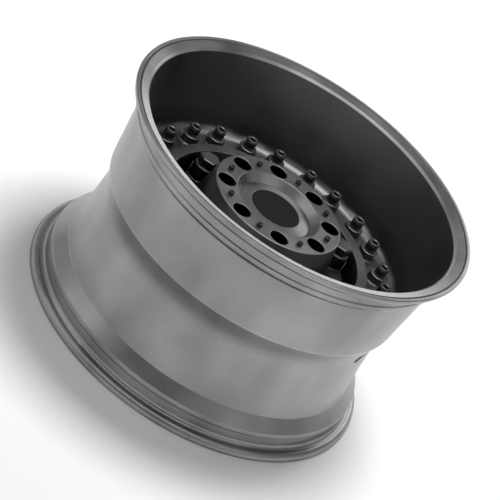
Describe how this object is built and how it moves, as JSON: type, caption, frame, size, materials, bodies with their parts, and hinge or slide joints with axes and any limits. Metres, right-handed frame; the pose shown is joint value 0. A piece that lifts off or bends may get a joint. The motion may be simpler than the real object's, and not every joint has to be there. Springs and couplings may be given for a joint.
{
  "type": "car wheel",
  "caption": "Deep-dish cast wheel rim with a wide barrel and rolled lips, a ring of bolts and hexagonal pedestals round a raised lug hub with a centre cap.",
  "frame": {"origin": "centre of the hub bore on the plane of the mounting pad", "axes": "+Z along the wheel's axis towards the open dish, +X through a lug hole"},
  "size_m": [0.5473, 0.5474, 0.3274],
  "materials": {
    "gunmetal_casting": "matte gunmetal paint on cast aluminium",
    "black_bolts": "black oxide",
    "dark_screws": "dark satin",
    "gunmetal_cap": "matte gunmetal paint",
    "black_badge": "satin black",
    "spring_wire": "bright wire"
  },
  "bodies": {
    "root": {"wheel_body": "gunmetal_casting", "ring_bolts": "black_bolts", "hub_screws": "dark_screws", "center_cap": "gunmetal_cap", "cap_badge": "black_badge", "snap_ring": "spring_wire"}
  },
  "joints": []
}
